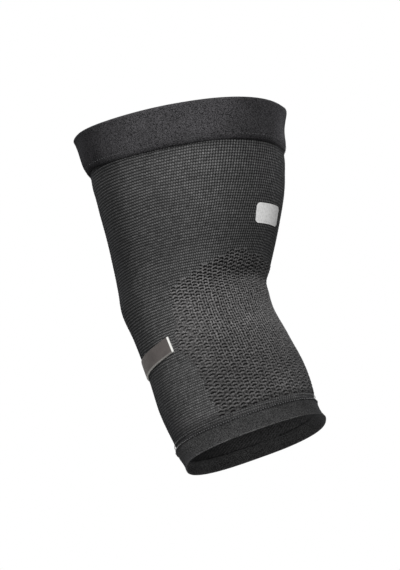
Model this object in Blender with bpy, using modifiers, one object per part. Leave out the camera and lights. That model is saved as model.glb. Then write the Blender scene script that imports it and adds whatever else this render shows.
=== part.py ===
"""Knitted elbow brace: a bent sleeve with a folded cuff, a hem band and a side label.

Metres, +Z up along the upper arm. +X is the inner side of the bend, -X the point of
the elbow and -Y the front. The origin is the middle of the arm at the elbow.
"""

import functools
import math
from collections import namedtuple

import bpy
import numpy as np

# The knit tube
SLEEVE_HEIGHT = 0.220     # from the middle of the top rim down to the middle of the lower rim
TOP_WIDTH = 0.138         # of the knit at the top rim, in the plane of the bend
TOP_DEPTH = 0.088         # of the knit at the top rim, front to back
BEND_REACH = 0.0268       # from the elbow's middle to the lower rim's, towards the inner side
BEND_TILT = math.radians(12.5)    # of the lower rim, the top rim being level
KNIT_WALL = 0.0018
FIT_GAP = 0.0003          # between pieces that touch

# The cuff folded over the top rim
CUFF_HEIGHT = 0.0278
CUFF_LAP = 0.0060         # how far the sleeve's end goes into it
CUFF_PLY = 0.0012

# The hem band at the lower rim
HEM_HEIGHT = 0.0135
HEM_LAP = 0.0050
HEM_PLY = 0.0009
HEM_RIM_WALL = 0.0016
HEM_FLARE = 0.0010        # how far its rim turns outwards

# The label round the point of the elbow
LABEL_LENGTH = 0.0765
LABEL_HEIGHT = 0.0102
LABEL_THICKNESS = 0.0006
LABEL_DISTANCE = 0.156    # from the top rim to its middle, along the arm
LABEL_RISE = 0.0038       # how much higher its ends lie than its middle

# Mesh fineness
COLUMNS = 48              # faces around every tube
RING_STEP = 0.006         # between the sleeve's rings
TRACE_POINTS = 720        # points that a ring is measured with
RIM_STEPS = 4             # faces across a rounded rim

# Sections of the tube, from the top rim down. Lengths are shares: down of SLEEVE_HEIGHT,
# aside of BEND_REACH, width of TOP_WIDTH and depth of TOP_DEPTH. Tilt is a share of
# BEND_TILT, egg moves the fullest depth to the inner side, square is the curve's exponent.
Section = namedtuple("Section", "down aside tilt width depth egg square")
SECTIONS = (
    Section(0.000, 0.18, 0.00, 1.010, 1.02, 0.21, 2.1),
    Section(0.059, 0.19, 0.00, 0.966, 0.97, 0.18, 2.1),
    Section(0.116, 0.21, 0.03, 0.935, 0.94, 0.15, 2.1),
    Section(0.223, 0.22, 0.12, 0.900, 0.90, 0.10, 2.1),
    Section(0.360, 0.16, 0.25, 0.813, 0.86, 0.06, 2.1),
    Section(0.473, 0.06, 0.42, 0.740, 0.81, 0.02, 2.1),
    Section(0.530, 0.00, 0.52, 0.707, 0.79, 0.00, 2.1),
    Section(0.613, 0.10, 0.64, 0.664, 0.79, 0.00, 2.1),
    Section(0.723, 0.36, 0.78, 0.678, 0.80, 0.00, 2.2),
    Section(0.829, 0.59, 0.90, 0.707, 0.82, 0.00, 2.3),
    Section(0.909, 0.76, 0.97, 0.690, 0.84, 0.00, 2.5),
    Section(0.955, 0.84, 0.98, 0.667, 0.87, 0.00, 2.6),
    Section(1.000, 1.00, 1.00, 0.652, 0.92, 0.00, 2.7),
)
ELBOW_DOWN = 0.530        # share of SLEEVE_HEIGHT at which the origin lies

# Folds of the cloth. Down is a share of SLEEVE_HEIGHT and around a share of the way round
# (0 inner side, 0.25 front, 0.5 point of the elbow, 0.75 back). Deep is a share of
# FOLD_DEPTH, below zero where the cloth swells, and slope is how far the fold drops per turn.
FOLD_DEPTH = 0.0026
Fold = namedtuple("Fold", "down around half_down half_around deep slope")
FOLDS = (
    Fold(0.529, 0.10, 0.042, 0.17, 1.00, -0.10),
    Fold(0.529, -0.10, 0.042, 0.17, 1.00, 0.10),
    Fold(0.600, 0.12, 0.055, 0.20, -0.35, -0.06),
    Fold(0.600, -0.12, 0.055, 0.20, -0.35, 0.06),
)

CUFF_COLOUR = (0.030, 0.030, 0.032)
KNIT_COLOUR = (0.038, 0.038, 0.039)
HEM_COLOUR = (0.030, 0.030, 0.033)
LABEL_COLOUR = (0.098, 0.080, 0.071)


def clear_scene():
    for item in list(bpy.data.objects):
        bpy.data.objects.remove(item, do_unlink=True)


def smooth(places, values, where):
    """Cubic curve through the rows of a table, with slopes from the neighbouring rows."""
    places = np.asarray(places, float)
    values = np.asarray(values, float)
    slopes = np.gradient(values, places)
    row = np.clip(np.searchsorted(places, where) - 1, 0, len(places) - 2)
    span = places[row + 1] - places[row]
    t = (where - places[row]) / span
    start = (2 * t**3 - 3 * t**2 + 1) * values[row] + (t**3 - 2 * t**2 + t) * span * slopes[row]
    end = (3 * t**2 - 2 * t**3) * values[row + 1] + (t**3 - t**2) * span * slopes[row + 1]
    return start + end


def column(name, down):
    """Value of one column of SECTIONS at a share of the sleeve's height."""
    return smooth([row.down for row in SECTIONS], [getattr(row, name) for row in SECTIONS], down)


def middle_line(down):
    """Middle of the arm at a share of the sleeve's height."""
    across = BEND_REACH * column("aside", down)
    height = SLEEVE_HEIGHT * (ELBOW_DOWN - down)
    return across, height


TRACE_DOWN = np.linspace(0.0, 1.0, TRACE_POINTS)
TRACE_X, TRACE_Z = middle_line(TRACE_DOWN)
TRAVEL = np.concatenate(([0.0], np.cumsum(np.hypot(np.diff(TRACE_X), np.diff(TRACE_Z)))))
SLEEVE_LENGTH = TRAVEL[-1]


@functools.lru_cache(maxsize=None)
def ring(distance):
    """Section at a distance from the top rim: its frame and its evenly traced outline."""
    inside = min(max(distance, 0.0), SLEEVE_LENGTH)
    down = float(np.interp(inside, TRAVEL, TRACE_DOWN))
    across, height = middle_line(down)
    tilt = BEND_TILT * column("tilt", down)
    along = distance - inside
    centre = np.array((across + along * math.sin(tilt), 0.0, height - along * math.cos(tilt)))
    angle = np.linspace(0.0, 2.0 * math.pi, TRACE_POINTS + 1)
    power = 2.0 / column("square", down)
    cosine, sine = np.cos(angle), np.sin(angle)
    wide = TOP_WIDTH * column("width", down) / 2
    deep = TOP_DEPTH * column("depth", down) / 2
    x = wide * np.sign(cosine) * np.abs(cosine)**power
    y = -deep * np.sign(sine) * np.abs(sine)**power * (1.0 + column("egg", down) * cosine)
    travel = np.concatenate(([0.0], np.cumsum(np.hypot(np.diff(x), np.diff(y)))))
    return centre, tilt, x, y, travel, down


def perimeter(distance):
    """Length once around the tube."""
    return ring(distance)[4][-1]


def fold_height(down, around):
    """How far the cloth's folds lift the surface there."""
    lift = 0.0
    for fold in FOLDS:
        turn = (around - fold.around + 0.5) % 1.0 - 0.5
        beside = turn / fold.half_around
        off = (down - fold.down - fold.slope * turn) / fold.half_down
        if abs(beside) < 1.0 and abs(off) < 1.0:
            shape = math.cos(math.pi / 2 * beside)**2 * math.cos(math.pi / 2 * off)**2
            lift -= FOLD_DEPTH * fold.deep * shape
    return lift


def place(distance, around, out=0.0):
    """Point at a distance from the top rim, a share of the way around, out from the knit."""
    centre, tilt, x, y, travel, down = ring(distance)
    spot = (around % 1.0) * travel[-1]
    step = travel[-1] / TRACE_POINTS
    px, py = np.interp(spot, travel, x), np.interp(spot, travel, y)
    ahead, behind = (spot + 3 * step) % travel[-1], (spot - 3 * step) % travel[-1]
    run_x = np.interp(ahead, travel, x) - np.interp(behind, travel, x)
    run_y = np.interp(ahead, travel, y) - np.interp(behind, travel, y)
    size = math.hypot(run_x, run_y)
    lift = out + fold_height(down, around)
    px -= run_y / size * lift
    py += run_x / size * lift
    return centre + np.array((px * math.cos(tilt), py, px * math.sin(tilt)))


def new_object(name, points, faces, colour, roughness):
    """Object of its own, with its own material, in the brace's collection."""
    mesh = bpy.data.meshes.new(name)
    mesh.from_pydata([tuple(point) for point in points], [], faces)
    mesh.validate()
    mesh.shade_smooth()
    item = bpy.data.objects.new(name, mesh)
    BRACE.objects.link(item)
    material = bpy.data.materials.new(name)
    material.use_nodes = True
    shader = material.node_tree.nodes["Principled BSDF"]
    shader.inputs["Base Color"].default_value = (*colour, 1.0)
    shader.inputs["Roughness"].default_value = roughness
    shader.inputs["Metallic"].default_value = 0.0
    mesh.materials.append(material)
    return item


def add_wall(item, thickness, offset):
    """Give an open surface its cloth thickness."""
    wall = item.modifiers.new("Wall", "SOLIDIFY")
    wall.thickness = thickness
    wall.offset = offset
    wall.use_even_offset = True


def band(name, profile, colour, roughness):
    """Closed profile of (distance, out) points carried once around the tube."""
    points = []
    for place_around in range(COLUMNS):
        for distance, out in profile:
            points.append(place(distance, place_around / COLUMNS, out))
    count = len(profile)
    faces = []
    for strip in range(COLUMNS):
        near, far = strip * count, (strip + 1) % COLUMNS * count
        for k in range(count):
            following = (k + 1) % count
            faces.append((near + k, near + following, far + following, far + k))
    return new_object(name, points, faces, colour, roughness)


def lapped_band(name, rim, inward, height, lap, ply, rim_wall, flare, colour, roughness):
    """Cloth band with a rounded free rim, its other edge in two plies astride the sleeve's end.

    Inward is 1 where the tube runs down from the rim and -1 where it runs up.
    """
    outer_low, outer = FIT_GAP, FIT_GAP + ply
    inner_high, inner = -KNIT_WALL - FIT_GAP, -KNIT_WALL - FIT_GAP - ply
    wall_low = outer - rim_wall
    edge_round = 0.7 * ply
    slot = height - lap
    shoulder = slot - 3 * ply
    radius = rim_wall / 2
    rim_middle = outer + flare - radius
    turns = [math.pi * k / RIM_STEPS for k in range(RIM_STEPS + 1)]

    outside = [(height, outer_low), (height, outer - edge_round / 2), (height - edge_round, outer)]
    outside += [(slot, outer), (slot / 2, outer)]
    around_rim = [(radius - radius * math.sin(a), rim_middle + radius * math.cos(a)) for a in turns]
    inside = [(slot / 2, wall_low), (shoulder, wall_low), (slot, inner)]
    inside += [(height - edge_round, inner), (height, inner_high)]
    sleeve_slot = [(slot, inner_high), (slot, outer_low)]
    profile = [(rim + inward * depth, out) for depth, out in outside + around_rim + inside + sleeve_slot]
    if inward < 0:
        profile.reverse()
    band(name, profile, colour, roughness)


def knit_sleeve():
    """Bent knitted tube between the two bands."""
    start = CUFF_HEIGHT - CUFF_LAP + FIT_GAP
    end = SLEEVE_LENGTH - HEM_HEIGHT + HEM_LAP - FIT_GAP
    rings = max(8, round((end - start) / RING_STEP))
    points = []
    for row in range(rings + 1):
        distance = start + (end - start) * row / rings
        points += [place(distance, k / COLUMNS) for k in range(COLUMNS)]
    faces = []
    for row in range(rings):
        upper, lower = row * COLUMNS, (row + 1) * COLUMNS
        for k in range(COLUMNS):
            following = (k + 1) % COLUMNS
            faces.append((upper + k, upper + following, lower + following, lower + k))
    sleeve = new_object("knit_sleeve", points, faces, KNIT_COLOUR, 0.9)
    add_wall(sleeve, KNIT_WALL, -1.0)


def upper_cuff():
    """Cloth band folded double over the top rim."""
    lapped_band("upper_cuff", 0.0, 1, CUFF_HEIGHT, CUFF_LAP, CUFF_PLY, 2 * CUFF_PLY, 0.0,
                CUFF_COLOUR, 0.92)


def lower_cuff():
    """Hem band whose thin rim turns outwards."""
    lapped_band("lower_cuff", SLEEVE_LENGTH, -1, HEM_HEIGHT, HEM_LAP, HEM_PLY, HEM_RIM_WALL,
                HEM_FLARE, HEM_COLOUR, 0.9)


def side_label():
    """Woven label laid round the point of the elbow, its ends a little higher."""
    half = LABEL_LENGTH / 2 / perimeter(LABEL_DISTANCE)
    first, last = 0.5 - half, 0.5 + half
    margin = 0.2 / COLUMNS
    stops = [first]
    stops += [k / COLUMNS for k in range(COLUMNS) if first + margin < k / COLUMNS < last - margin]
    stops.append(last)
    points = []
    for share in (-0.5, 0.0, 0.5):
        for stop in stops:
            rise = LABEL_RISE * ((stop - 0.5) / half)**2
            points.append(place(LABEL_DISTANCE + LABEL_HEIGHT * share - rise, stop, FIT_GAP))
    faces = []
    for row in range(2):
        for k in range(len(stops) - 1):
            upper, lower = row * len(stops) + k, (row + 1) * len(stops) + k
            faces.append((upper, upper + 1, lower + 1, lower))
    label = new_object("side_label", points, faces, LABEL_COLOUR, 0.6)
    add_wall(label, LABEL_THICKNESS, 1.0)


clear_scene()
BRACE = bpy.data.collections.new("elbow_brace")
bpy.context.scene.collection.children.link(BRACE)
knit_sleeve()
upper_cuff()
lower_cuff()
side_label()
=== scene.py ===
"""Knitted elbow brace dressed for the render: stitches, cuff, hem, label, light and camera.

Metres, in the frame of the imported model. Distance runs along the arm from the top rim, and
around is a share of the way round: 0 inner side, 0.25 front, 0.5 point of the elbow, 0.75 back.
"""

import math
from collections import namedtuple

import bpy
import numpy as np
from mathutils import Matrix, Vector


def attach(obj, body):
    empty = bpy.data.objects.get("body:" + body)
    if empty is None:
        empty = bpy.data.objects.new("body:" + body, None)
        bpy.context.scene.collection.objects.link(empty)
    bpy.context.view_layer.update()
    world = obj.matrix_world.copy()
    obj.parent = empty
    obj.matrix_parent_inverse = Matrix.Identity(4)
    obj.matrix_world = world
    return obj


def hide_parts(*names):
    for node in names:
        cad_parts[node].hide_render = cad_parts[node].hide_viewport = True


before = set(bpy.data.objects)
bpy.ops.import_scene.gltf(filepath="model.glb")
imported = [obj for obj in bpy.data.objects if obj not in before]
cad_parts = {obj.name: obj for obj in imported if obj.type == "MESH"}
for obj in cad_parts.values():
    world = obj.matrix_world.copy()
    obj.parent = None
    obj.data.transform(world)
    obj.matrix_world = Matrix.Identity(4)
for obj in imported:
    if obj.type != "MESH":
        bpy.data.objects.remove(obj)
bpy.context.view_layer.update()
DRAW = np.random.default_rng(41)
TURN = 2 * math.pi

# The tube, as in the part's source
SLEEVE_HEIGHT = 0.220
TOP_WIDTH = 0.138
TOP_DEPTH = 0.088
BEND_REACH = 0.0268
BEND_TILT = math.radians(12.5)
ELBOW_DOWN = 0.530
KNIT_WALL = 0.0018
CUFF_HEIGHT = 0.0278
LABEL_LENGTH = 0.0765
LABEL_HEIGHT = 0.0102
LABEL_DISTANCE = 0.156
LABEL_RISE = 0.0038
LABEL_EDGE_TURNED = 0.10  # shares of the label that are turned under along it and at its ends
LABEL_END_TURNED = 0.012
LABEL_OUT = 0.0011        # from the knit to its face, and how far its turned edges sink
LABEL_TUCK = 0.0013
LABEL_CROWN = 0.00012     # how much further out its middle lies
TRANSFER_DISTANCE = 0.0770
TRANSFER_AROUND = 0.0720
TRANSFER_WIDE = 0.0230
TRANSFER_TALL = 0.0140
TRANSFER_CORNER = 0.0030
TRANSFER_THICKNESS = 0.00030
TRANSFER_RELIEF = 0.3     # share of the knit's relief that shows through it
Section = namedtuple("Section", "down aside tilt width depth egg square")
SECTIONS = (
    Section(0.000, 0.18, 0.00, 1.010, 1.02, 0.21, 2.1),
    Section(0.059, 0.19, 0.00, 0.966, 0.97, 0.18, 2.1),
    Section(0.116, 0.21, 0.03, 0.935, 0.94, 0.15, 2.1),
    Section(0.223, 0.22, 0.12, 0.900, 0.90, 0.10, 2.1),
    Section(0.360, 0.16, 0.25, 0.813, 0.86, 0.06, 2.1),
    Section(0.473, 0.06, 0.42, 0.740, 0.81, 0.02, 2.1),
    Section(0.530, 0.00, 0.52, 0.707, 0.79, 0.00, 2.1),
    Section(0.613, 0.10, 0.64, 0.664, 0.79, 0.00, 2.1),
    Section(0.723, 0.36, 0.78, 0.678, 0.80, 0.00, 2.2),
    Section(0.829, 0.59, 0.90, 0.707, 0.82, 0.00, 2.3),
    Section(0.909, 0.76, 0.97, 0.690, 0.84, 0.00, 2.5),
    Section(0.955, 0.84, 0.98, 0.667, 0.87, 0.00, 2.6),
    Section(1.000, 1.00, 1.00, 0.652, 0.92, 0.00, 2.7),
)
# The folds stand a little further from the inner side than on the solids
FOLD_DEPTH = 0.0026
Fold = namedtuple("Fold", "down around half_down half_around deep slope")
FOLDS = (
    Fold(0.529, 0.12, 0.042, 0.17, 1.00, -0.10),
    Fold(0.529, -0.12, 0.042, 0.17, 1.00, 0.10),
    Fold(0.600, 0.14, 0.055, 0.17, -0.35, -0.06),
    Fold(0.600, -0.14, 0.055, 0.17, -0.35, 0.06),
)

# Stitches of the plain knit
KNIT_FROM = 0.0225        # the skins' ends, hidden by the bands
KNIT_TO = 0.2133
WALES = 188               # columns of stitches around
TOP_COURSE = 0.00198      # between rows of stitches at the top rim
COURSE_CLOSING = 0.50     # how fast the rows close up down the arm, per metre
COURSE_SAG = 0.0020       # how much lower the rows lie on the inner side
WALE_LEAN = 0.55          # turns per metre that the columns of stitches drift round
RIB_HEIGHT = 0.00040
ROWS_PER_COURSE = 4
COLUMNS_PER_WALE = 4
KNIT_DRIFT = 0.14         # how far rows and columns wander, in rows and columns
KNIT_RAGGED = 0.05        # how far single stitches stray from their row
KNIT_SWELL = 0.16         # how much fuller or flatter single stitches are
CLOTH_DRIFT = 0.00022     # slow unevenness of the whole cloth
CUFF_PUFF = 0.0006        # how far the cloth swells below the cuff

# The raised zone over the crook of the elbow: short bars in waves, every second row shifted
ARCS_AROUND = 42.5        # waves once around, as close as they lie on the inner side
ARC_WIDENING = 8.5        # how fast they widen towards the sides
ARC_ROW = 0.00322         # height of one row of waves at the zone's top
ARC_ROW_GROWTH = 0.78     # how fast the rows grow down the arm, per metre
ARC_FROM = 0.100          # distance at which the rows are counted from
BAR_RISE = 0.160          # crest shares of the bars that stand level and of those that slant
BAR_SLANTED = 0.130
LINE_RISE = 0.155         # of the rows of stitches between them
ARC_HEIGHT = 0.00075
ARC_ROW_DRIFT = 0.05      # how far the rows and waves wander, in rows and waves
ARC_TURN_DRIFT = 0.03
BAR_SWELL = 0.22          # how much single bars differ in height, and in place
BAR_SHIFT = 0.045
BAR_BEND = 0.06           # how far the bars curve up and down, in rows
BAR_RAGGED = 0.035
ARC_TABLE_ROW = 40        # row of the random tables that the zone's first row reads
ZONE_LIFT = 0.00030
ZONE_END = 0.2072
ZoneTop = namedtuple("ZoneTop", "around distance")
ZONE_TOP = (
    ZoneTop(0.000, 0.1065),
    ZoneTop(0.070, 0.1065),
    ZoneTop(0.105, 0.1045),
    ZoneTop(0.125, 0.1020),
    ZoneTop(0.160, 0.1030),
    ZoneTop(0.180, 0.1040),
    ZoneTop(0.213, 0.1075),
    ZoneTop(0.236, 0.1090),
    ZoneTop(0.262, 0.1135),
    ZoneTop(0.280, 0.1160),
    ZoneTop(0.312, 0.1185),
    ZoneTop(0.350, 0.1300),
)
ZoneSide = namedtuple("ZoneSide", "distance around")
ZONE_SIDE = (
    ZoneSide(0.118, 0.306),
    ZoneSide(0.130, 0.313),
    ZoneSide(0.147, 0.333),
    ZoneSide(0.157, 0.337),
    ZoneSide(0.164, 0.324),
    ZoneSide(0.176, 0.313),
    ZoneSide(0.205, 0.305),
)

# Profiles of the two bands, from the outer ply's lower or upper edge round to the inner ply's
Turn = namedtuple("Turn", "distance out")
CUFF_PROFILE = (
    Turn(0.0270, -0.0006),
    Turn(0.0277, 0.0000),
    Turn(0.0275, 0.0006),
    Turn(0.0262, 0.0013),
    Turn(0.0250, 0.0017),
    Turn(0.0243, 0.0018),
    Turn(0.0225, 0.0022),
    Turn(0.0170, 0.0023),
    Turn(0.0100, 0.0021),
    Turn(0.0040, 0.0019),
    Turn(0.0008, 0.0018),
    Turn(0.0000, 0.0011),
    Turn(0.0001, 0.0000),
    Turn(0.0010, -0.0007),
    Turn(0.0040, -0.0010),
    Turn(0.0150, -0.0011),
    Turn(0.0190, -0.0015),
    Turn(0.0218, -0.0030),
    Turn(0.0268, -0.0033),
    Turn(0.0277, -0.0029),
    Turn(0.0270, -0.0019),
)
# Distances of the hem's profile are measured back from the lower rim
HEM_PROFILE = (
    Turn(0.0128, -0.0006),
    Turn(0.0135, 0.0001),
    Turn(0.0134, 0.0008),
    Turn(0.0128, 0.0013),
    Turn(0.0119, 0.0012),
    Turn(0.0112, 0.0010),
    Turn(0.0100, 0.0012),
    Turn(0.0060, 0.0012),
    Turn(0.0030, 0.0015),
    Turn(0.0008, 0.0021),
    Turn(0.0001, 0.0022),
    Turn(0.0000, 0.0018),
    Turn(0.0006, 0.0012),
    Turn(0.0028, 0.0003),
    Turn(0.0048, -0.0005),
    Turn(0.0066, -0.0016),
    Turn(0.0080, -0.0022),
    Turn(0.0088, -0.0021),
    Turn(0.0086, -0.0016),
)


def smooth(places, values, where):
    """Cubic curve through the rows of a table, with slopes from the neighbouring rows."""
    places = np.asarray(places, float)
    values = np.asarray(values, float)
    slopes = np.gradient(values, places)
    row = np.clip(np.searchsorted(places, where) - 1, 0, len(places) - 2)
    span = places[row + 1] - places[row]
    t = (where - places[row]) / span
    start = (2 * t**3 - 3 * t**2 + 1) * values[row] + (t**3 - 2 * t**2 + t) * span * slopes[row]
    end = (3 * t**2 - 2 * t**3) * values[row + 1] + (t**3 - t**2) * span * slopes[row + 1]
    return start + end


def column(name, down):
    return smooth([row.down for row in SECTIONS], [getattr(row, name) for row in SECTIONS], down)


TRACE_POINTS = 720
TRACE_DOWN = np.linspace(0.0, 1.0, TRACE_POINTS)
TRACE_X = BEND_REACH * column("aside", TRACE_DOWN)
TRACE_Z = SLEEVE_HEIGHT * (ELBOW_DOWN - TRACE_DOWN)
TRAVEL = np.concatenate(([0.0], np.cumsum(np.hypot(np.diff(TRACE_X), np.diff(TRACE_Z)))))
SLEEVE_LENGTH = TRAVEL[-1]

# The tube's surface is charted once, and every piece is laid on the chart
CHART_FROM = -0.006
CHART_STEP = 0.0005
CHART_RINGS = int((SLEEVE_LENGTH - 2 * CHART_FROM) / CHART_STEP) + 2
CHART_COLUMNS = 1440


def chart_ring(distance):
    """Evenly spaced points round the tube at one distance, and the directions out of it."""
    inside = min(max(distance, 0.0), SLEEVE_LENGTH)
    down = np.interp(inside, TRAVEL, TRACE_DOWN)
    tilt = BEND_TILT * column("tilt", down)
    along = distance - inside
    middle_x = BEND_REACH * column("aside", down) + along * math.sin(tilt)
    middle_z = SLEEVE_HEIGHT * (ELBOW_DOWN - down) - along * math.cos(tilt)
    angle = np.linspace(0.0, TURN, TRACE_POINTS + 1)
    power = 2.0 / column("square", down)
    cosine, sine = np.cos(angle), np.sin(angle)
    wide = TOP_WIDTH * column("width", down) / 2
    deep = TOP_DEPTH * column("depth", down) / 2
    x = wide * np.sign(cosine) * np.abs(cosine)**power
    y = -deep * np.sign(sine) * np.abs(sine)**power * (1.0 + column("egg", down) * cosine)
    travel = np.concatenate(([0.0], np.cumsum(np.hypot(np.diff(x), np.diff(y)))))
    spot = np.arange(CHART_COLUMNS) / CHART_COLUMNS * travel[-1]
    px, py = np.interp(spot, travel, x), np.interp(spot, travel, y)
    reach = 6
    run_x = np.roll(px, -reach) - np.roll(px, reach)
    run_y = np.roll(py, -reach) - np.roll(py, reach)
    size = np.hypot(run_x, run_y)
    out_x, out_y = -run_y / size, run_x / size
    points = np.stack((middle_x + px * math.cos(tilt), py, middle_z + px * math.sin(tilt)), axis=1)
    outs = np.stack((out_x * math.cos(tilt), out_y, out_x * math.sin(tilt)), axis=1)
    return points, outs, travel[-1]


CHART = [chart_ring(CHART_FROM + CHART_STEP * k) for k in range(CHART_RINGS)]
CHART_POINTS = np.stack([row[0] for row in CHART])
CHART_OUTS = np.stack([row[1] for row in CHART])
CHART_ROUND = np.array([row[2] for row in CHART])


def perimeter(distance):
    """Length once around the tube."""
    return np.interp(distance, CHART_FROM + CHART_STEP * np.arange(CHART_RINGS), CHART_ROUND)


def signed_side(around):
    """Share of the way round from the inner side, below zero at the back."""
    return (around + 0.5) % 1.0 - 0.5


def side_of(around):
    """Share of the way round from the inner side, alike at the front and the back."""
    return np.abs(signed_side(around))


def fold_height(distance, around):
    """How far the cloth's folds lift the surface there."""
    down = np.interp(distance, TRAVEL, TRACE_DOWN)
    lift = np.zeros(np.broadcast(down, around).shape)
    for fold in FOLDS:
        turn = signed_side(around - fold.around)
        beside = np.clip(turn / fold.half_around, -1.0, 1.0)
        off = np.clip((down - fold.down - fold.slope * turn) / fold.half_down, -1.0, 1.0)
        shape = np.cos(math.pi / 2 * beside)**2 * np.cos(math.pi / 2 * off)**2
        lift -= FOLD_DEPTH * fold.deep * shape
    return lift


def place(distance, around, out=0.0):
    """Points on the tube at given distances and shares around, out from the knit."""
    distance, around, out = np.broadcast_arrays(distance, around, out)
    ring = np.clip((distance - CHART_FROM) / CHART_STEP, 0, CHART_RINGS - 1.001)
    row = ring.astype(int)
    spot = around % 1.0 * CHART_COLUMNS
    near = spot.astype(int) % CHART_COLUMNS
    far = (near + 1) % CHART_COLUMNS
    t = (ring - row)[..., None]
    s = (spot - spot.astype(int))[..., None]

    def mixed(chart):
        above = chart[row, near] * (1 - s) + chart[row, far] * s
        below = chart[row + 1, near] * (1 - s) + chart[row + 1, far] * s
        return above * (1 - t) + below * t

    lift = (out + fold_height(distance, around))[..., None]
    return mixed(CHART_POINTS) + mixed(CHART_OUTS) * lift


def drawn(table, rows, columns):
    """Value of a random table between its cells, its columns running round without a seam."""
    rows = np.clip(rows, 0, len(table) - 1.001)
    row = rows.astype(int)
    spot = columns % table.shape[1]
    near = spot.astype(int) % table.shape[1]
    far = (near + 1) % table.shape[1]
    t, s = rows - row, spot - spot.astype(int)
    above = table[row, near] * (1 - s) + table[row, far] * s
    below = table[row + 1, near] * (1 - s) + table[row + 1, far] * s
    return above * (1 - t) + below * t


TABLES = {}


def wander(name, distance, around, cell):
    """Slow uneven drift, mostly between -1 and 1, over cells of the given length."""
    rows = int(SLEEVE_LENGTH / cell) + 3
    columns = max(3, round(0.3 / cell))
    if name not in TABLES:
        TABLES[name] = DRAW.normal(0.0, 1.0, (rows, columns))
    table = TABLES[name]
    rows_at = distance / cell
    fine = rows_at % 1.0
    eased = rows_at - fine + fine**2 * (3 - 2 * fine)
    turns = around * columns
    part = turns % 1.0
    return drawn(table, eased, turns - part + part**2 * (3 - 2 * part))


def bead(phase):
    """Rounded crest at every whole phase, zero halfway between."""
    return 0.5 + 0.5 * np.cos(TURN * phase)


def hump(where, middle, width):
    """Smooth hump, one at its middle and nearly gone two widths from it."""
    return np.exp(-((where - middle) / width)**2)


def read(table, where):
    """Second column of a table, between the rows of its first."""
    return np.interp(where, [row[0] for row in table], [row[1] for row in table])


def grid_normals(points, closed):
    """Outward normals of a grid of points, rows along the arm and columns around it."""
    along = np.gradient(points, axis=0)
    if closed:
        around = np.roll(points, -1, axis=1) - np.roll(points, 1, axis=1)
    else:
        around = np.gradient(points, axis=1)
    normals = np.cross(around, along)
    return normals / np.linalg.norm(normals, axis=2, keepdims=True)


def grid_piece(name, points, normals, fields, uvs, closed=False, keep=None, inward=False):
    """Object made of a grid of points, with its normals, named values and cloth coordinates."""
    rows, columns = points.shape[:2]
    numbers = np.arange(rows * columns).reshape(rows, columns)
    following = np.roll(numbers, -1, axis=1) if closed else numbers[:, 1:]
    first = numbers if closed else numbers[:, :-1]
    faces = np.stack((first[:-1], following[:-1], following[1:], first[1:]), axis=2)
    faces = faces.reshape(-1, 4)
    if inward:
        faces = faces[:, ::-1]
    if keep is not None:
        faces = faces[keep.reshape(-1)]
    mesh = bpy.data.meshes.new(name)
    mesh.vertices.add(rows * columns)
    mesh.vertices.foreach_set("co", points.reshape(-1).astype(np.float32))
    mesh.loops.add(faces.size)
    mesh.loops.foreach_set("vertex_index", faces.reshape(-1).astype(np.int32))
    mesh.polygons.add(len(faces))
    mesh.polygons.foreach_set("loop_start", np.arange(0, faces.size, 4, dtype=np.int32))
    mesh.update(calc_edges=True)
    mesh.shade_smooth()
    layer = mesh.uv_layers.new(name="cloth")
    corners = uvs.reshape(-1, 2)[faces.reshape(-1)]
    if closed:
        spans = corners.reshape(-1, 4, 2)
        wrapped = spans[:, :, 0].max(axis=1) - spans[:, :, 0].min(axis=1)
        turn = 2 * uvs[0, -1, 0] - uvs[0, -2, 0]
        late = wrapped > turn / 2
        low = spans[:, :, 0] < turn / 2
        spans[:, :, 0] += turn * (late[:, None] & low)
    layer.data.foreach_set("uv", corners.reshape(-1).astype(np.float32))
    for field, values in fields.items():
        attribute = mesh.attributes.new(field, "FLOAT", "POINT")
        attribute.data.foreach_set("value", values.reshape(-1).astype(np.float32))
    mesh.normals_split_custom_set_from_vertices(normals.reshape(-1, 3).tolist())
    item = bpy.data.objects.new(name, mesh)
    bpy.context.scene.collection.objects.link(item)
    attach(item, "root")
    return item


RANGE_SOCKETS = ("From Min", "From Max", "To Min", "To Max")


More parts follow.
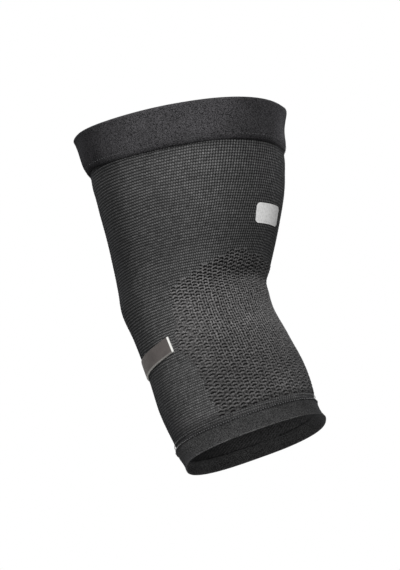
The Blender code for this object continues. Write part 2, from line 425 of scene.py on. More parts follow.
class Shader:
    """Principled material built from a few node helpers."""

    def __init__(self, name, roughness, specular, sheen, sheen_roughness, sheen_tint):
        self.material = bpy.data.materials.new(name)
        self.material.use_nodes = True
        self.tree = self.material.node_tree
        self.surface = self.tree.nodes["Principled BSDF"]
        settings = {
            "Roughness": roughness,
            "Specular IOR Level": specular,
            "Sheen Weight": sheen,
            "Sheen Roughness": sheen_roughness,
            "Sheen Tint": (*sheen_tint, 1.0),
            "Metallic": 0.0,
        }
        for socket, value in settings.items():
            self.surface.inputs[socket].default_value = value

    def add(self, kind, settings=None, **inputs):
        """Node with its settings and inputs, an input by its name or as i and its number."""
        made = self.tree.nodes.new(kind)
        for key, value in (settings or {}).items():
            setattr(made, key, value)
        for key, value in inputs.items():
            numbered = key[0] == "i" and key[1:].isdigit()
            socket = made.inputs[int(key[1:]) if numbered else key]
            if isinstance(value, bpy.types.NodeSocket):
                self.tree.links.new(value, socket)
            else:
                socket.default_value = value
        return made

    def value_of(self, field):
        return self.add("ShaderNodeAttribute", {"attribute_name": field}).outputs["Fac"]

    def math(self, operation, first, second=0.0):
        return self.add("ShaderNodeMath", {"operation": operation}, i0=first, i1=second).outputs[0]

    def scaled(self, value, low, high, to_low, to_high):
        made = self.add("ShaderNodeMapRange", {"interpolation_type": "SMOOTHSTEP"}, Value=value)
        for socket, number in zip(RANGE_SOCKETS, (low, high, to_low, to_high)):
            made.inputs[socket].default_value = number
        return made.outputs["Result"]

    def mix(self, factor, first, second):
        """Colour between two, by a linked factor. The numbers are a colour mix's own sockets."""
        made = self.add("ShaderNodeMix", {"data_type": "RGBA"})
        for number, value in ((0, factor), (6, first), (7, second)):
            if isinstance(value, bpy.types.NodeSocket):
                self.tree.links.new(value, made.inputs[number])
            else:
                made.inputs[number].default_value = (*value, 1.0)
        return made.outputs[2]

    def noise(self, scale, detail=2.0, rough=0.5):
        where = self.add("ShaderNodeTexCoord").outputs["Object"]
        inputs = {"Scale": scale, "Detail": detail, "Roughness": rough, "Vector": where}
        return self.add("ShaderNodeTexNoise", **inputs).outputs["Fac"]

    def brightened(self, colour, factor):
        made = self.add("ShaderNodeVectorMath", {"operation": "SCALE"}, i0=colour)
        self.tree.links.new(factor, made.inputs["Scale"])
        return made.outputs[0]

    def cloth_lines(self, across, along, sharpness, slant=0.0):
        """Fine threads in the cloth's own directions, from its stored coordinates."""
        where = self.add("ShaderNodeUVMap", {"uv_map": "cloth"}).outputs["UV"]
        parts = self.add("ShaderNodeSeparateXYZ", Vector=where)
        first = self.math("MULTIPLY", parts.outputs["X"], across)
        second = self.math("MULTIPLY", parts.outputs["Y"], along)
        skew = self.math("ADD", first, self.math("MULTIPLY", second, slant))
        wave = self.math("MULTIPLY", self.math("SINE", skew), self.math("SINE", second))
        return self.math("MULTIPLY", wave, sharpness)

    def finish(self, colour, bumps):
        """Connects the colour and the bumps, each a height and its depth in metres."""
        self.tree.links.new(colour, self.surface.inputs["Base Color"])
        last = None
        for height, depth in bumps:
            bump = self.add("ShaderNodeBump", Height=height, Distance=depth, Strength=1.0)
            if last is not None:
                self.tree.links.new(last, bump.inputs["Normal"])
            last = bump.outputs["Normal"]
        if last is not None:
            self.tree.links.new(last, self.surface.inputs["Normal"])
        return self.material


def knit_material():
    cloth = Shader("knit_yarn", 0.95, 0.08, 0.05, 0.45, (0.88, 0.92, 1.0))
    height = cloth.scaled(cloth.value_of("height"), 0.22, 0.86, 0.0, 1.0)
    zone = cloth.value_of("relief")
    # Colour follows the crest height: painted shade in the hollows between stitches, painted
    # highlights on their crests
    plain = cloth.mix(height, (0.011, 0.011, 0.0112), (0.128, 0.128, 0.129))
    raised = cloth.mix(height, (0.008, 0.0079, 0.0080), (0.124, 0.1215, 0.122))
    yarn_with_painted_relief_light = cloth.mix(zone, plain, raised)
    tone = cloth.scaled(cloth.value_of("tone"), -2.2, 2.2, 0.78, 1.24)
    grain = cloth.scaled(cloth.noise(1500.0, 3.0, 0.65), 0.30, 0.70, -1.0, 1.0)
    coarser = cloth.math("ADD", cloth.math("MULTIPLY", zone, 0.22), 0.48)
    speckle = cloth.math("ADD", cloth.math("MULTIPLY", grain, coarser), 1.0)
    patches_and_painted_shading = cloth.scaled(cloth.noise(55.0, 2.0, 0.5), 0.30, 0.70, 0.96, 1.04)
    # Painted light and shade from the stored shading value
    patches_and_painted_shading = cloth.math("MULTIPLY", patches_and_painted_shading, cloth.value_of("painted_shading"))
    pale = cloth.math("MULTIPLY", tone, cloth.math("MULTIPLY", speckle, patches_and_painted_shading))
    colour = cloth.brightened(yarn_with_painted_relief_light, pale)
    twist = cloth.cloth_lines(25.0, 12.6, 0.5, 1.0)
    bumps = ((cloth.noise(2600.0, 3.0, 0.6), 0.00022), (twist, 0.00005))
    return cloth.finish(colour, bumps)


def inside_material():
    cloth = Shader("knit_inside", 0.95, 0.10, 0.08, 0.5, (0.9, 0.92, 1.0))
    weave = cloth.scaled(cloth.value_of("height"), 0.0, 1.0, 0.0, 1.0)
    # Colour follows the stored height, which carries the floats and painted shade deeper inside
    colour = cloth.mix(weave, (0.006, 0.006, 0.0062), (0.070, 0.070, 0.071))
    speckle = cloth.scaled(cloth.noise(1200.0, 3.0, 0.6), 0.30, 0.70, 0.45, 1.55)
    return cloth.finish(cloth.brightened(colour, speckle), ((cloth.noise(2400.0), 0.0002),))


def band_material(name, dark, light, speckle_size, coarse):
    """Fine heathered jersey: mixed dark and pale fibres, with painted light and shade and painted
    highlights along its folded rims.
    """
    cloth = Shader(name, 0.94, 0.07, 0.04, 0.45, (0.90, 0.90, 1.0))
    fine = cloth.scaled(cloth.noise(speckle_size, 4.0, 0.72), 0.38, 0.62, 0.0, 1.0)
    heather = cloth.mix(fine, dark, light)
    broad = cloth.scaled(cloth.noise(coarse, 3.0, 0.6), 0.30, 0.70, 0.85, 1.15)
    # Painted highlights along the folded rims, and painted light and shade, scale the colour
    rim_highlight_gain = cloth.scaled(cloth.value_of("wear_and_rim_highlight"), 0.0, 1.0, 1.0, 2.6)
    broad = cloth.math("MULTIPLY", broad, cloth.value_of("painted_shading"))
    colour = cloth.brightened(heather, cloth.math("MULTIPLY", broad, rim_highlight_gain))
    ribs = cloth.cloth_lines(5200.0, 4200.0, 0.5)
    bumps = ((cloth.noise(2300.0, 3.0, 0.7), 0.00016), (ribs, 0.00003))
    return cloth.finish(colour, bumps)


def label_material():
    cloth = Shader("label_satin", 0.55, 0.35, 0.15, 0.4, (1.0, 0.95, 0.9))
    across = cloth.value_of("painted_edge_highlight")
    end = cloth.value_of("end")
    weave = cloth.cloth_lines(9000.0, 3200.0, 0.5, 0.6)
    satin = cloth.mix(cloth.math("ADD", weave, 0.5), (0.067, 0.059, 0.057), (0.078, 0.069, 0.066))
    broad = cloth.scaled(cloth.noise(180.0, 2.0, 0.5), 0.30, 0.70, 0.9, 1.1)
    # Painted highlight along the ribbon's lower edge
    edged = cloth.mix(across, cloth.brightened(satin, broad), (0.40, 0.39, 0.37))
    colour = cloth.mix(end, edged, (0.72, 0.72, 0.70))
    bumps = ((weave, 0.00003), (cloth.noise(1500.0), 0.00004))
    return cloth.finish(colour, bumps)


def thread_material(name, colour):
    cloth = Shader(name, 0.75, 0.25, 0.25, 0.4, (0.9, 0.93, 1.0))
    ply = cloth.scaled(cloth.noise(2600.0, 3.0, 0.6), 0.30, 0.70, 0.6, 1.3)
    return cloth.finish(cloth.brightened(colour, ply), ((cloth.noise(4000.0), 0.00008),))


def transfer_material():
    cloth = Shader("pale_transfer", 0.60, 0.30, 0.0, 0.5, (1.0, 1.0, 1.0))
    wear_and_rim_highlight = cloth.scaled(cloth.noise(700.0, 4.0, 0.7), 0.30, 0.62, 0.0, 1.0)
    colour = cloth.mix(wear_and_rim_highlight, (0.50, 0.50, 0.50), (0.64, 0.64, 0.64))
    return cloth.finish(colour, ((cloth.noise(1400.0), 0.00005),))


def dress(item, material, slot, *nodes):
    item.data.materials.append(material)
    if nodes:
        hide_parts(*nodes)


# Plain knit, and the raised zone over the crook of the elbow
STITCH_ROWS = 130
TONES = DRAW.normal(0.0, 1.0, (STITCH_ROWS, WALES))
SWELLS = DRAW.normal(0.0, 1.0, (STITCH_ROWS, WALES))
SHIFTS = DRAW.normal(0.0, 1.0, (STITCH_ROWS, WALES))

# Painted light and shade: how much darker or paler the cloth's colour is made, round the arm and
# along it
Side = namedtuple("Side", "around share")
SIDE_SHADES = (
    Side(0.00, 0.78),
    Side(0.05, 0.66),
    Side(0.11, 0.58),
    Side(0.16, 0.68),
    Side(0.22, 0.92),
    Side(0.28, 0.92),
    Side(0.33, 0.78),
    Side(0.38, 0.66),
    Side(0.42, 0.36),
    Side(0.46, 0.31),
    Side(0.50, 0.36),
)
CUFF_SHADES = (
    Side(0.00, 1.55),
    Side(0.04, 1.45),
    Side(0.08, 0.58),
    Side(0.12, 0.40),
    Side(0.18, 0.62),
    Side(0.24, 0.66),
    Side(0.34, 0.68),
    Side(0.40, 0.52),
    Side(0.44, 0.23),
    Side(0.50, 0.30),
)
HEM_SHADES = (
    Side(0.00, 0.60),
    Side(0.12, 0.60),
    Side(0.26, 0.74),
    Side(0.40, 0.78),
    Side(0.50, 0.60),
)
ZONE_SIDE_SHADES = (
    Side(0.05, 0.95),
    Side(0.15, 1.00),
    Side(0.26, 1.00),
    Side(0.34, 1.15),
)
Along = namedtuple("Along", "distance share")
ALONG_SHADES = (
    Along(0.028, 0.80),
    Along(0.036, 1.12),
    Along(0.060, 0.96),
    Along(0.090, 0.79),
    Along(0.115, 0.97),
    Along(0.130, 1.22),
    Along(0.203, 1.20),
    Along(0.206, 0.80),
)
ZONE_ALONG_SHADES = (
    Along(0.105, 0.98),
    Along(0.120, 0.99),
    Along(0.150, 0.90),
    Along(0.180, 0.59),
    Along(0.205, 0.63),
)

# Painted shade: dark lines along the bands, at the cuff's lower edge and along the hem's upper edge
Dark = namedtuple("Dark", "distance width much")
CUFF_DARKS = (
    Dark(0.0264, 0.0014, 0.30),
    Dark(0.0278, 0.0007, 0.75),
)
HEM_DARKS = (
    Dark(SLEEVE_LENGTH - 0.0140, 0.0010, 0.40),
    Dark(SLEEVE_LENGTH - 0.0122, 0.0007, 0.50),
)

# Painted highlights along the bands' folded rims, measured along their profiles
RimHighlight = namedtuple("RimHighlight", "along width much")
CUFF_RIM_HIGHLIGHTS = (RimHighlight(0.0285, 0.0012, 0.10),)
HEM_RIM_HIGHLIGHTS = (RimHighlight(0.0151, 0.0005, 0.90),)


def side_painted_shading(distance, around):
    """Painted light and shade on the plain knit: darker at the sides, under the cuff and just above
    the hem, paler lower down the arm.
    """
    side = side_of(around)
    painted_shading = smooth([row.around for row in SIDE_SHADES], [row.share for row in SIDE_SHADES], side)
    lower = np.clip((distance - 0.10) / 0.05, 0.0, 1.0)
    inner = np.clip((0.24 - side) / 0.08, 0.0, 1.0)
    painted_shading = painted_shading + (1.0 - painted_shading) * lower * inner
    return painted_shading * read(ALONG_SHADES, distance)


def zone_painted_shading(distance, around):
    """Painted light and shade over the raised zone: darker lower down the arm, paler towards its
    edge round the arm.
    """
    return read(ZONE_ALONG_SHADES, distance) * read(ZONE_SIDE_SHADES, side_of(around))


def in_zone(distance, around):
    """One where the raised zone covers the cloth."""
    side = side_of(around)
    inside = (distance > read(ZONE_TOP, side)) & (distance < ZONE_END)
    return (inside & (side < read(ZONE_SIDE, distance))).astype(float)


def softened(values):
    """Each value mixed with its neighbours, the columns running round."""
    beside = np.roll(values, 1, axis=1) + np.roll(values, -1, axis=1)
    values = 0.5 * values + 0.25 * beside
    padded = np.pad(values, ((1, 1), (0, 0)), mode="edge")
    return 0.5 * values + 0.25 * (padded[:-2] + padded[2:])


def course_at(distance):
    """Rows of stitches from the top rim to a distance."""
    return (distance + COURSE_CLOSING * distance**2) / TOP_COURSE


def distance_at(course):
    """Distance at which a row of stitches lies."""
    return (np.sqrt(1 + 4 * COURSE_CLOSING * TOP_COURSE * course) - 1) / (2 * COURSE_CLOSING)


def wale_at(distance, around):
    """Columns of stitches passed on the way round; they drift as they go down."""
    return (around - WALE_LEAN * (distance - CUFF_HEIGHT)) * WALES


def arc_row_at(distance):
    along = distance - ARC_FROM
    return (along - ARC_ROW_GROWTH * along**2) / ARC_ROW


def arc_at(around):
    side = signed_side(around)
    return side * (ARCS_AROUND - ARC_WIDENING * np.abs(side))


Weave = namedtuple("Weave", "side course wale slant")
WEAVES = (
    Weave(0.00, 0.42, 0.64, 0.22),
    Weave(0.15, 0.44, 0.60, 0.24),
    Weave(0.24, 0.40, 0.32, 0.38),
    Weave(0.32, 0.42, 0.18, 0.38),
    Weave(0.40, 0.54, 0.08, 0.36),
    Weave(0.50, 0.58, 0.08, 0.32),
)
PLAIN_RELIEF = (
    Along(0.130, 1.00),
    Along(0.165, 0.70),
    Along(0.203, 0.68),
    Along(0.206, 0.50),
)

# Relief of the bars along the arm and round it, and of the columns of stitches between them
BAR_RELIEF = (
    Along(0.110, 2.80),
    Along(0.120, 1.90),
    Along(0.135, 0.84),
    Along(0.170, 0.86),
    Along(0.190, 1.15),
)
BAR_SIDES = (
    Side(0.08, 0.60),
    Side(0.22, 1.00),
)
COLUMN_RELIEF = (
    Along(0.160, 1.00),
    Along(0.185, 0.50),
)
COLUMN_SIDES = (
    Side(0.00, 0.24),
    Side(0.12, 0.24),
    Side(0.24, 0.20),
    Side(0.30, 0.04),
)


def plain_height(course, wale, side):
    """Crests of the plain knit: rows, columns and slant of the stitches, by where they lie."""
    flatter = read(PLAIN_RELIEF, distance_at(course))
    sides, *shares = zip(*WEAVES)
    parts = [np.interp(side, sides, values) for values in shares]
    waves = (np.cos(TURN * course), np.cos(TURN * wale), np.cos(TURN * (course + wale)))
    level = sum(part * wave for part, wave in zip(parts, waves))
    return 0.5 + 0.5 * level * flatter * (1.0 + KNIT_SWELL * drawn(SWELLS, course, wale))


def arc_height(distance, around):
    """Crests of the raised zone: staggered short bars, rows of stitches between, and columns."""
    side = side_of(around)
    row = arc_row_at(distance) + ARC_ROW_DRIFT * wander("arc rows", distance, around, 0.02)
    turn = arc_at(around) + ARC_TURN_DRIFT * wander("arc turns", distance, around, 0.02)
    uneven = 1.0 + BAR_SWELL * drawn(SWELLS, row + ARC_TABLE_ROW, turn * 4)
    turn = turn + BAR_SHIFT * drawn(SHIFTS, row + ARC_TABLE_ROW, turn * 4)
    ragged = BAR_RAGGED * drawn(TONES, row + ARC_TABLE_ROW, turn * 4)
    row = row + BAR_BEND * np.cos(TURN * 2 * turn) + ragged
    hand = np.sign(signed_side(around))
    level_bars = np.cos(TURN * (1.5 * row + turn * hand))
    slanted_bars = np.cos(TURN * (1.5 * row - turn * hand))
    lines = np.cos(TURN * 2 * row)
    columns = read(COLUMN_SIDES, side) * np.cos(TURN * 4 * turn) * read(COLUMN_RELIEF, distance)
    relief = read(BAR_RELIEF, distance) * read(BAR_SIDES, side)
    bars = relief * uneven * (BAR_RISE * level_bars + BAR_SLANTED * slanted_bars)
    level = bars + relief**0.5 * LINE_RISE * lines + columns
    return 1.03 - np.clip(0.60 - 1.1 * level, 0.0, 1.4)**1.6


def knit_heights(distance, around, course, wale):
    """Lift of the cloth, crest share, raised-zone share and tone of every point."""
    plain = plain_height(course, wale, side_of(around))
    ridge = arc_height(distance, around)
    cell_row = np.round(arc_row_at(distance))
    row_distance = ARC_FROM + cell_row * ARC_ROW * (1 + ARC_ROW_GROWTH * cell_row * ARC_ROW)
    shift = 0.5 * (cell_row % 2)
    spread = ARCS_AROUND - ARC_WIDENING * side_of(around)
    cell = np.round(arc_at(around) * 2 + shift) - shift
    zone = softened(in_zone(row_distance, cell / 2 / spread))
    raised = ZONE_LIFT + ARC_HEIGHT * (ridge - 0.6)
    lift = RIB_HEIGHT * (plain - 0.5) * (1 - zone) + raised * zone
    crest = plain * (1 - zone) + np.clip(ridge, 0, 1.3) * zone
    tone = drawn(TONES, course, wale)
    return lift, crest, zone, tone


def drift(distance, around):
    """Slow unevenness that both faces of the knit share."""
    return CLOTH_DRIFT * wander("cloth", distance, around, 0.030)


def puff(distance, around):
    """Slow swell of the cloth below the cuff and its drift elsewhere."""
    below = hump(distance - CUFF_HEIGHT, 0.006, 0.006)
    return CUFF_PUFF * below + drift(distance, around)


def knit_skins(material):
    first_course, last_course = np.ceil(course_at(KNIT_FROM)), np.floor(course_at(KNIT_TO))
    rows = int((last_course - first_course) * ROWS_PER_COURSE)
    columns = WALES * COLUMNS_PER_WALE
    course = first_course + np.arange(rows + 1)[:, None] / ROWS_PER_COURSE + np.zeros((1, columns))
    wale = np.arange(columns)[None, :] / COLUMNS_PER_WALE + np.zeros((rows + 1, 1))
    distance = distance_at(course)
    around = wale / WALES + WALE_LEAN * (distance - CUFF_HEIGHT)
    side = side_of(around)
    sag = COURSE_SAG * np.cos(math.pi * np.clip(side / 0.30, 0, 1) / 2)**2
    row_drift = KNIT_DRIFT * wander("rows", distance, around, 0.014)
    row_drift = row_drift + KNIT_RAGGED * drawn(SHIFTS, course, wale)
    turn_drift = KNIT_DRIFT * wander("columns", distance, around, 0.016)
    distance = distance_at(course + row_drift) + sag
    around = around + turn_drift / WALES
    lift, crest, zone, tone = knit_heights(distance, around, course, wale)
    points = place(distance, around, lift + puff(distance, around))
    normals = grid_normals(points, True)
    uvs = np.stack((wale, course), axis=2)
    # Painted shading: darker sides and painted light and shade over the raised zone, stored on the
    # points for the material
    painted_shading = side_painted_shading(distance, around) * (1 + (zone_painted_shading(distance, around) - 1) * zone)
    fields = {"height": crest, "relief": zone, "tone": tone, "painted_shading": painted_shading}
    half_row = round((rows + 1) / 2)
    made = []
    for upper_lower, first, last in (("upper", 0, half_row), ("lower", half_row, rows)):
        for side, start in (("front", 0), ("back", columns // 2)):
            picked = (start + np.arange(columns // 2 + 1)) % columns
            cut = np.ix_(range(first, last + 1), picked)
            turned = uvs[cut].copy()
            turned[..., 0] = (start + np.arange(columns // 2 + 1)) / COLUMNS_PER_WALE
            part = {field: values[cut] for field, values in fields.items()}
            name = "knit_%s_%s" % (side, upper_lower)
            item = grid_piece(name, points[cut], normals[cut], part, turned)
            dress(item, material, "knit", "knit_sleeve")
            made.append(item)
    return made


def knit_inside(material):
    """Inner face of the knit, with its slanting floats; its rows lie closer by the lower mouth."""
    rows, columns, upper_rows = 270, 340, 85
    places = (0.0220, 0.150, SLEEVE_LENGTH - 0.0070)
    distance = np.interp(np.arange(rows), (0, upper_rows, rows - 1), places)
    distance = distance[:, None] + np.zeros((1, columns))
    around = np.arange(columns)[None, :] / columns + np.zeros((rows, 1))
    floats = np.cos(TURN * (course_at(distance) + 0.5 * wale_at(distance, around)))
    floats = floats * np.interp(distance, (0.140, 0.155), (0.0, 1.0))
    # Painted shade: the inner face is darker further in from the lower mouth and towards the elbow
    # side
    painted_depth_shade = np.interp(distance, (0.165, 0.196, SLEEVE_LENGTH - 0.0100), (0.30, 0.55, 1.0))
    side = side_of(around)
    painted_depth_shade = painted_depth_shade * np.interp(side, (0.28, 0.42), (1.0, 0.45))
    weave = (0.5 + 0.14 * floats) * painted_depth_shade
    out = -KNIT_WALL + 0.00010 * weave + drift(distance, around)
    points = place(distance, around, out)
    uvs = np.stack((around * WALES, course_at(distance)), axis=2)
    normals = -grid_normals(points, True)
    item = grid_piece("knit_inner_face", points, normals, {"height": weave}, uvs,
                      closed=True, inward=True)
    dress(item, material, "knit", "knit_sleeve")
    return item


def band_piece(name, profile, samples, columns, uneven, edges, shades, darks, material, slot, node):
    """Band of cloth folded double: an open profile carried once around the tube."""
    spots = np.array([(row.distance, row.out) for row in profile])
    lengths = np.concatenate(([0.0], np.cumsum(np.hypot(*np.diff(spots, axis=0).T))))
    where = np.linspace(0.0, lengths[-1], samples)
    share = where / lengths[-1]
    distance = smooth(lengths, spots[:, 0], where)[:, None] + np.zeros((1, columns))
    out = smooth(lengths, spots[:, 1], where)[:, None] + np.zeros((1, columns))
    around = np.arange(columns)[None, :] / columns + np.zeros((samples, 1))
    pulled, pushed = uneven(distance, around, share[:, None])
    points = place(distance + pulled, around, out + pushed)
    # Painted highlights along the folded rims, uneven along them
    wear_and_rim_highlight = np.zeros_like(distance)
    for at, width, much in edges:
        wear_and_rim_highlight = np.maximum(wear_and_rim_highlight, much * hump(where[:, None], at, width))
    wear_and_rim_highlight = wear_and_rim_highlight * (0.8 + 0.3 * wander(name + " wear", distance, around, 0.006))
    uvs = np.stack((around * perimeter(0.0), where[:, None] + np.zeros((1, columns))), axis=2)
    order = slice(None, None, -1) if points[0, 0, 2] < points[samples // 3, 0, 2] else slice(None)
    # Painted light and shade round the band, and painted dark lines along it
    painted_shading = read(shades, side_of(around))
    for at, width, much in darks:
        painted_shading = painted_shading * (1 - much * hump(distance, at, width))
    points, wear_and_rim_highlight, uvs, painted_shading = points[order], wear_and_rim_highlight[order], uvs[order], painted_shading[order]
    normals = grid_normals(points, True)
    item = grid_piece(name, points, normals, {"wear_and_rim_highlight": wear_and_rim_highlight, "painted_shading": painted_shading}, uvs, closed=True)
    dress(item, material, slot, node)
    return item


CORNER_PULL = 0.0040          # how far the cuff is drawn up at its inner corner
ELBOW_PULL = 0.0014           # the same at the elbow side, at the rim
ELBOW_PULL_GROWTH = 0.0018    # and how much more at the cuff's lower edge
CUFF_SEAM = 0.0245
CUFF_PUCKERS = 150
HEM_SEAM = SLEEVE_LENGTH - 0.0118
HEM_PUCKERS = 128


def near_rim(distance):
    """One at the top rim and above it, fading downwards."""
    return np.exp(-np.maximum(distance, 0.0) / 0.011)


def cuff_pull(distance, around):
    """How far the cuff is drawn up the arm: at its inner corner, and on the elbow side."""
    side = side_of(around)
    inner = CORNER_PULL * hump(side, 0.0, 0.032) * near_rim(distance)
    lower = np.clip(distance / CUFF_HEIGHT, 0.0, 1.0)
    elbow = (ELBOW_PULL + ELBOW_PULL_GROWTH * lower) * hump(side, 0.5, 0.085)
    return -inner - elbow


def cuff_uneven(distance, around, share):
    """How far the cuff's points are pulled along the arm and pushed out: puckers and corners."""
    seam = hump(distance, CUFF_SEAM, 0.0016) * (share < 0.5)
    slow = hump(distance, 0.014, 0.009)
    puckers = 0.00010 * bead(around * CUFF_PUCKERS)
    puckers = puckers + 0.00008 * wander("cuff puckers", distance, around, 0.004)
    side = side_of(around)
    corners = 0.0004 * hump(side, 0.0, 0.012) + 0.0007 * hump(side, 0.5, 0.014)
    hollow = 0.0014 * hump(side, 0.0, 0.050) * hump(distance, 0.010, 0.011)
    pushed = corners * near_rim(distance) - hollow
    swell = 0.00026 * wander("cuff swell", distance, around, 0.024) * slow
    return cuff_pull(distance, around), pushed - puckers * seam + swell


def hem_uneven(distance, around, share):
    """The same for the hem, which isn't pulled: puckers at its seam and a slow swell of its rim."""
    seam = hump(distance, HEM_SEAM, 0.0010) * (share < 0.5)
    rim = hump(distance, SLEEVE_LENGTH, 0.004)
    puckers = 0.00009 * bead(around * HEM_PUCKERS)
    swell = 0.00018 * wander("hem swell", distance, around, 0.018) * rim
    return np.zeros_like(distance), swell - puckers * seam


Row = namedtuple("Row", "distance count share out radius")
CUFF_ROW = Row(0.0240, 160, 0.55, 0.0018, 0.00028)
HEM_ROW = Row(SLEEVE_LENGTH - 0.0123, 172, 0.50, 0.0015, 0.00030)
HEM_UPPER_ROW = Row(SLEEVE_LENGTH - 0.0158, 172, 0.45, 0.0006, 0.00026)


def stitch_row(name, row, material, slot, pull=None):
    """Row of small thread stitches laid on a band, one capsule each."""
    distance, count, share, out, radius = row
    steps, sides = 7, 6
    at = (np.arange(count) + DRAW.normal(0.0, 0.05, count)) / count
    along = np.linspace(-0.5, 0.5, steps)
    around = at[:, None] + along[None, :] * share / count
    where = distance + DRAW.normal(0.0, 0.00010, (count, 1)) + np.zeros((1, steps))
    if pull:
        where = where + pull(where, around)
    sunk = 1.1 * radius * DRAW.random((count, 1))
    rise = out - sunk + radius * (np.cos(math.pi * along)[None, :] * 1.2 - 0.6)
    middle = place(where, around, rise)
    outward = place(where, around, rise + 0.001) - middle
    outward /= np.linalg.norm(outward, axis=2, keepdims=True)
    ahead = np.gradient(middle, axis=1)
    across = np.cross(ahead, outward)
    across /= np.linalg.norm(across, axis=2, keepdims=True)
    thick = radius * np.sqrt(np.clip(1.0 - (2 * along * 0.98)**2, 0.02, 1.0))
    turn = np.arange(sides) / sides * TURN
    ring = outward[:, :, None] * np.cos(turn)[None, None, :, None]
    ring = ring + across[:, :, None] * np.sin(turn)[None, None, :, None]
    points = middle[:, :, None] + ring * thick[None, :, None, None]
    numbers = np.arange(count * steps * sides).reshape(count, steps, sides)
    following = np.roll(numbers, -1, axis=2)
    faces = np.stack((numbers[:, :-1], numbers[:, 1:], following[:, 1:], following[:, :-1]), axis=3)
    mesh = bpy.data.meshes.new(name)
    mesh.from_pydata(points.reshape(-1, 3).tolist(), [], faces.reshape(-1, 4).tolist())
    mesh.shade_smooth()
    item = bpy.data.objects.new(name, mesh)
    bpy.context.scene.collection.objects.link(item)
    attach(item, "root")
    dress(item, material, slot)
    return item


def side_label(material):
    """Ribbon round the point of the elbow, its long edges and its ends turned under."""
    half = LABEL_LENGTH / 2 / perimeter(LABEL_DISTANCE)
    across = np.linspace(-1.0, 1.0, 25)[:, None]
    along = np.linspace(-1.0, 1.0, 241)[None, :]
    reach_across = np.abs(across) * (1.0 + LABEL_EDGE_TURNED)
    reach_along = np.abs(along) * (1.0 + LABEL_END_TURNED)
    edge = np.maximum(reach_across - 1.0, 0.0) / LABEL_EDGE_TURNED
    tip = np.maximum(reach_along - 1.0, 0.0) / LABEL_END_TURNED
    flat_across = np.sign(across) * (np.minimum(reach_across, 1.0) + 0.004 * edge)
    flat_along = np.sign(along) * (np.minimum(reach_along, 1.0) + 0.0005 * tip)
    rise = LABEL_RISE * flat_along**2
    distance = LABEL_DISTANCE + flat_across * LABEL_HEIGHT / 2 - rise
    around = 0.5 + flat_along * half + 0.0 * across
    crown = LABEL_CROWN * (1 - flat_across**2)
    crown = crown + 0.00010 * wander("label", distance, around, 0.008)
    out = LABEL_OUT + crown - LABEL_TUCK * np.maximum(edge, tip)**1.5
    points = place(distance, around, out)
    from_end = (1 - np.abs(flat_along)) * LABEL_LENGTH / 2 + 0.0 * across
    end = (from_end < 0.0009).astype(float)
    # Painted highlight on the ribbon's lower edge
    painted_edge_highlight = np.clip((flat_across - 0.90) / 0.06, 0, 1) + 0.0 * along
    uvs = np.stack((around * perimeter(LABEL_DISTANCE), distance), axis=2)
    item = grid_piece("side_label_ribbon", points, grid_normals(points, False),
                      {"end": end, "painted_edge_highlight": painted_edge_highlight * 0.8}, uvs)
    dress(item, material, "label", "side_label")
    return item


def plain_transfer(material):
    """Plain pale panel with round corners, pressed on the upper inner side."""
    columns, rows = 70, 44
    x = np.linspace(-0.5, 0.5, columns)[None, :] * TRANSFER_WIDE + np.zeros((rows, 1))
    y = np.linspace(-0.5, 0.5, rows)[:, None] * TRANSFER_TALL + np.zeros((1, columns))
    distance = TRANSFER_DISTANCE + y
    around = TRANSFER_AROUND + x / perimeter(TRANSFER_DISTANCE)
    wale = wale_at(distance, around)
    lift = knit_heights(distance, around, course_at(distance), wale)[0]
    out = TRANSFER_RELIEF * lift + TRANSFER_THICKNESS + puff(distance, around)
    points = place(distance, around, out)
    inner_x = np.abs((x[:-1, :-1] + x[1:, 1:]) / 2) - (TRANSFER_WIDE / 2 - TRANSFER_CORNER)
    inner_y = np.abs((y[:-1, :-1] + y[1:, 1:]) / 2) - (TRANSFER_TALL / 2 - TRANSFER_CORNER)
    reach = np.hypot(np.maximum(inner_x, 0.0), np.maximum(inner_y, 0.0))
    uvs = np.stack((x, y), axis=2)
    item = grid_piece("plain_transfer", points, grid_normals(points, False), {}, uvs,
                      keep=reach < TRANSFER_CORNER)
    dress(item, material, "label")
    return item


def area_light(name, where, size, power, colour):
    """Round soft light aimed at the origin."""
    light = bpy.data.lights.new(name, "AREA")
    light.shape = "DISK"
    light.size = size
    light.energy = power
    light.color = colour
    item = bpy.data.objects.new(name, light)
    item.location = where
    item.rotation_euler = (-Vector(where)).to_track_quat("-Z", "Y").to_euler()
    bpy.context.scene.collection.objects.link(item)


AMBIENT = 0.13
OVERHEAD = 0.70
BACKDROP = 0.80
BEHIND = (0.0, 0.956, 0.292)


def paint_world(tree):
    """White behind the object. Elsewhere its light is dim, and brighter overhead.

    Seen directly, the dim part has the backdrop's own strength, which is paler than its light.
    """
    where = tree.nodes.new("ShaderNodeTexCoord").outputs["Generated"]
    behind = tree.nodes.new("ShaderNodeVectorMath")
    behind.operation = "DOT_PRODUCT"
    behind.inputs[1].default_value = BEHIND
    tree.links.new(where, behind.inputs[0])
    parts = tree.nodes.new("ShaderNodeSeparateXYZ")
    tree.links.new(where, parts.inputs[0])
    overhead = graded(tree, parts.outputs["Z"], 0.55, 0.95, AMBIENT, OVERHEAD)
    full = graded(tree, behind.outputs["Value"], 0.92, 0.98, 0.0, 1.0)
    seen = tree.nodes.new("ShaderNodeLightPath").outputs["Is Camera Ray"]
    beside = mixed_to(tree, seen, overhead, BACKDROP)
    background = tree.nodes["Background"]
    background.inputs["Color"].default_value = (1.0, 1.0, 1.0, 1.0)
    tree.links.new(mixed_to(tree, full, beside, 1.0), background.inputs["Strength"])


def mixed_to(tree, share, value, number):
    """Value that goes over to a fixed number as the share goes to one."""
    made = tree.nodes.new("ShaderNodeMix")
    tree.links.new(share, made.inputs[0])
    tree.links.new(value, made.inputs[2])
    made.inputs[3].default_value = number
    return made.outputs[0]


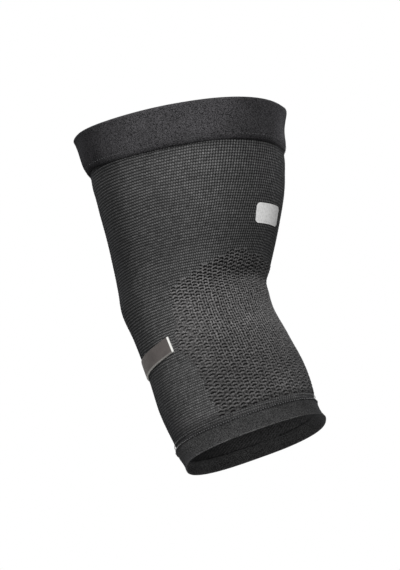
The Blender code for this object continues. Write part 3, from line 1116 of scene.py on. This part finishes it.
def graded(tree, value, low, high, to_low, to_high):
    made = tree.nodes.new("ShaderNodeMapRange")
    made.interpolation_type = "SMOOTHSTEP"
    tree.links.new(value, made.inputs["Value"])
    for socket, number in zip(RANGE_SOCKETS, (low, high, to_low, to_high)):
        made.inputs[socket].default_value = number
    return made.outputs["Result"]


FLOOR_REACH = 14.0
FLOOR_LEVEL = -0.5
FLOOR_CORNERS = ((-1, -1), (1, -1), (1, 1), (-1, 1))


def studio():
    """Pale floor and background, and a soft light from above in front."""
    scene = bpy.context.scene
    world = bpy.data.worlds.new("studio")
    scene.world = world
    world.use_nodes = True
    paint_world(world.node_tree)
    scene.view_settings.view_transform = "Standard"
    floor_mesh = bpy.data.meshes.new("floor")
    corners = [(x * FLOOR_REACH, y * FLOOR_REACH, FLOOR_LEVEL) for x, y in FLOOR_CORNERS]
    floor_mesh.from_pydata(corners, [], [(0, 1, 2, 3)])
    floor = bpy.data.objects.new("floor", floor_mesh)
    scene.collection.objects.link(floor)
    paint = bpy.data.materials.new("pale_floor")
    paint.use_nodes = True
    surface = paint.node_tree.nodes["Principled BSDF"]
    surface.inputs["Base Color"].default_value = (0.8, 0.8, 0.8, 1.0)
    surface.inputs["Roughness"].default_value = 0.9
    floor_mesh.materials.append(paint)
    area_light("key", (-0.10, -1.45, 1.15), 0.6, 40.0, (1.0, 0.995, 0.985))


CAMERA_LIFT = math.radians(17.0)
CAMERA_ROLL = math.radians(7.3)
CAMERA_AWAY = 1.3
PIXEL = 0.00065           # metres at the origin for each pixel of the photograph
IMAGE_HEIGHT = 570
FRAME_RIGHT = 5.0         # pixels from the origin to the middle of the frame
FRAME_UP = 10.7
SENSOR = 36.0


def camera():
    """Camera below the elbow looking up at it, turned a little about its own axis."""
    forward = Vector((0.0, math.cos(CAMERA_LIFT), math.sin(CAMERA_LIFT)))
    right = Vector((1.0, 0.0, 0.0))
    up = Vector((0.0, -math.sin(CAMERA_LIFT), math.cos(CAMERA_LIFT)))
    turned_right = right * math.cos(CAMERA_ROLL) - up * math.sin(CAMERA_ROLL)
    turned_up = up * math.cos(CAMERA_ROLL) + right * math.sin(CAMERA_ROLL)
    item = bpy.data.objects.new("camera", bpy.data.cameras.new("camera"))
    where = -forward * CAMERA_AWAY
    where += turned_right * FRAME_RIGHT * PIXEL
    where += turned_up * FRAME_UP * PIXEL
    frame_of = Matrix((turned_right, turned_up, -forward)).transposed().to_4x4()
    item.matrix_world = Matrix.Translation(where) @ frame_of
    item.data.sensor_width = SENSOR
    item.data.lens = SENSOR * CAMERA_AWAY / (IMAGE_HEIGHT * PIXEL)
    item.data.clip_start = 0.05
    bpy.context.scene.collection.objects.link(item)
    bpy.context.scene.camera = item


camera()
studio()
knit = knit_material()
skins = knit_skins(knit)
inner = knit_inside(inside_material())
cuff_cloth = band_material("cuff_jersey", (0.003, 0.003, 0.0034), (0.112, 0.109, 0.116),
                           1750.0, 60.0)
hem_cloth = band_material("hem_jersey", (0.003, 0.003, 0.0032), (0.080, 0.080, 0.081),
                          1900.0, 80.0)
cuff = band_piece("upper_cuff_cloth", CUFF_PROFILE, 66, 480, cuff_uneven,
                  CUFF_RIM_HIGHLIGHTS, CUFF_SHADES, CUFF_DARKS, cuff_cloth, "cuff", "upper_cuff")
hem_profile = [Turn(SLEEVE_LENGTH - row.distance, row.out) for row in HEM_PROFILE]
hem = band_piece("lower_cuff_cloth", hem_profile, 60, 400, hem_uneven,
                 HEM_RIM_HIGHLIGHTS, HEM_SHADES, HEM_DARKS, hem_cloth, "hem", "lower_cuff")
cuff_thread = thread_material("cuff_thread", (0.060, 0.060, 0.062))
pale_thread = thread_material("pale_thread", (0.115, 0.115, 0.118))
dull_thread = thread_material("dull_thread", (0.095, 0.095, 0.097))
stitch_row("cuff_stitches", CUFF_ROW, cuff_thread, "cuff", cuff_pull)
stitch_row("hem_stitches", HEM_ROW, pale_thread, "hem")
stitch_row("hem_upper_stitches", HEM_UPPER_ROW, dull_thread, "hem")
label = side_label(label_material())
transfer = plain_transfer(transfer_material())
